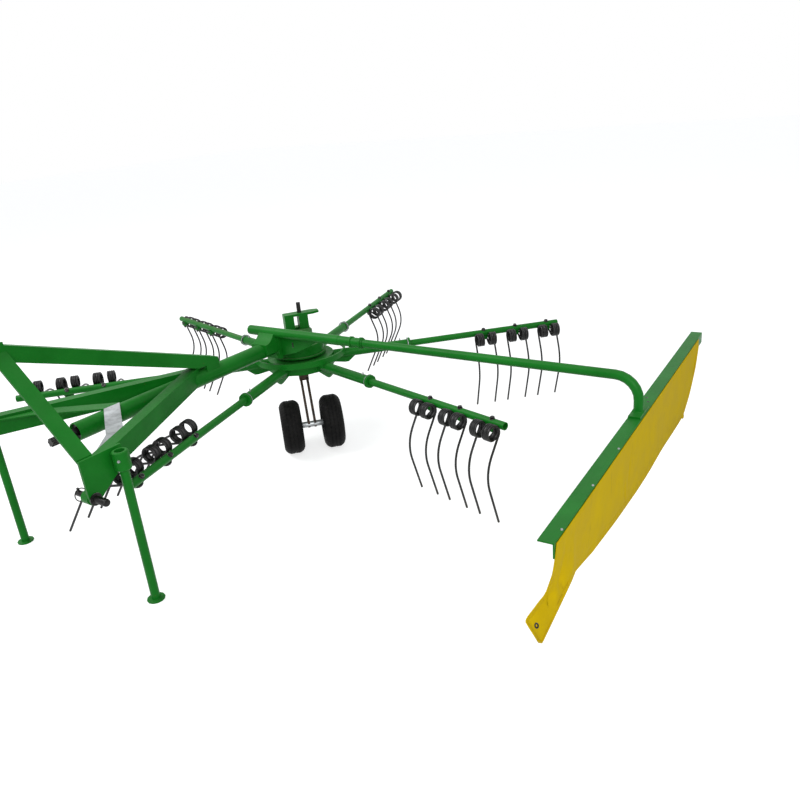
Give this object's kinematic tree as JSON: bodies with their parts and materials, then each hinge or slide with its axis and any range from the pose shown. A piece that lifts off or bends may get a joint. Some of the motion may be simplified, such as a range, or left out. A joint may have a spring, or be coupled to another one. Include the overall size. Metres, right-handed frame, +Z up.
{
  "type": "rotary hay rake",
  "caption": "Single-rotor hay rake for a three-point linkage: tine arms round a gear housing, frame with lower and top hitch, side curtain, caster wheels and parking stands.",
  "frame": {"origin": "on the ground, centred under the machine's bounding box", "axes": "+X forward to the tractor, +Y to the machine's left, where the curtain hangs, +Z up"},
  "size_m": [2.9912, 3.305, 0.9934],
  "materials": {
    "green_paint": "glossy dark green paint, worn to rust at edges and feet",
    "tine_arm_paint": "glossy green paint on arms, coils and tines, rubbed bare towards the tips",
    "dark_steel": "black oxide steel, greasy, scuffed bright at edges",
    "worn_steel": "old paint over brown rust",
    "wheel_rim": "galvanised and dusty, with rust at the edge",
    "tyre_rubber": "dusty black rubber with straight grooves",
    "curtain_sheet": "yellow coated cloth, creased and soiled"
  },
  "bodies": {
    "chassis": {"brace_left": "green_paint", "brace_right": "green_paint", "curtain_sleeve": "green_paint", "gear_housing": "green_paint", "hitch_plate_left": "green_paint", "hitch_plate_right": "green_paint", "jack_bracket": "green_paint", "jack_spindle": "dark_steel", "lower_pin_left": "dark_steel", "lower_pin_right": "dark_steel", "main_tube": "green_paint", "pto_bearing": "dark_steel", "side_beam_left": "green_paint", "side_beam_right": "green_paint", "sleeve_saddle": "green_paint", "sleeve_web": "green_paint", "stand_socket_left": "green_paint", "stand_socket_right": "green_paint", "top_beam": "green_paint", "upright_left": "green_paint", "upright_right": "green_paint"},
    "pto": {"pto_shaft": "dark_steel"},
    "rotor": {"rotor_spider": "green_paint"},
    "caster": {"caster_leg": "worn_steel"},
    "wheels": {"rim_left": "wheel_rim", "rim_right": "wheel_rim", "tyre_left": "tyre_rubber", "tyre_right": "tyre_rubber"},
    "curtain": {"curtain_angle": "green_paint", "curtain_sheet": "curtain_sheet", "curtain_tube": "green_paint"},
    "stand_left": {"stand_left": "green_paint"},
    "stand_right": {"stand_right": "green_paint"},
    "arm_1": {"arm_1": "tine_arm_paint"},
    "arm_2": {"arm_2": "tine_arm_paint"},
    "arm_3": {"arm_3": "tine_arm_paint"},
    "arm_4": {"arm_4": "tine_arm_paint"},
    "arm_5": {"arm_5": "tine_arm_paint"},
    "arm_6": {"arm_6": "tine_arm_paint"}
  },
  "joints": [
    {"name": "rotor_spin", "type": "hinge", "parent": "chassis", "child": "rotor", "pos_m": [-0.10774, -0.26215, 0.434], "axis": [0, 0, 1], "continuous": true},
    {"name": "pto_spin", "type": "hinge", "parent": "chassis", "child": "pto", "pos_m": [-0.10774, -0.26215, 0.56], "axis": [1, 0, 0], "continuous": true},
    {"name": "arm_1_roll", "type": "hinge", "parent": "rotor", "child": "arm_1", "pos_m": [-0.10774, -0.26215, 0.434], "axis": [-0.9659, -0.2588, 0], "range_deg": [-66, 0]},
    {"name": "arm_2_roll", "type": "hinge", "parent": "rotor", "child": "arm_2", "pos_m": [-0.10774, -0.26215, 0.434], "axis": [-0.2588, -0.9659, 0], "range_deg": [-16, 50]},
    {"name": "arm_3_roll", "type": "hinge", "parent": "rotor", "child": "arm_3", "pos_m": [-0.10774, -0.26215, 0.434], "axis": [0.7071, -0.7071, 0], "range_deg": [-9, 57]},
    {"name": "arm_4_roll", "type": "hinge", "parent": "rotor", "child": "arm_4", "pos_m": [-0.10774, -0.26215, 0.434], "axis": [0.9659, 0.2588, 0], "range_deg": [-5, 61]},
    {"name": "arm_5_roll", "type": "hinge", "parent": "rotor", "child": "arm_5", "pos_m": [-0.10774, -0.26215, 0.434], "axis": [0.2588, 0.9659, 0], "range_deg": [0, 66]},
    {"name": "arm_6_roll", "type": "hinge", "parent": "rotor", "child": "arm_6", "pos_m": [-0.10774, -0.26215, 0.434], "axis": [-0.7071, 0.7071, 0], "range_deg": [-66, 0]},
    {"name": "caster_swivel", "type": "hinge", "parent": "chassis", "child": "caster", "pos_m": [-0.10774, -0.26215, 0], "axis": [0, 0, 1], "continuous": true},
    {"name": "wheels_spin", "type": "hinge", "parent": "caster", "child": "wheels", "pos_m": [0.03119, -0.11829, 0.138], "axis": [-0.7193, 0.6947, 0], "continuous": true},
    {"name": "curtain_slide", "type": "slide", "parent": "chassis", "child": "curtain", "axis": [0, 1, 0], "range_m": [-0.3, 0.1]},
    {"name": "stand_left_lift", "type": "slide", "parent": "chassis", "child": "stand_left", "axis": [0, 0, 1], "range_m": [0, 0.3]},
    {"name": "stand_right_lift", "type": "slide", "parent": "chassis", "child": "stand_right", "axis": [0, 0, 1], "range_m": [0, 0.3]}
  ],
  "couplings": [
    {"joint": "pto_spin", "follows": "rotor_spin", "ratio": 7}
  ]
}
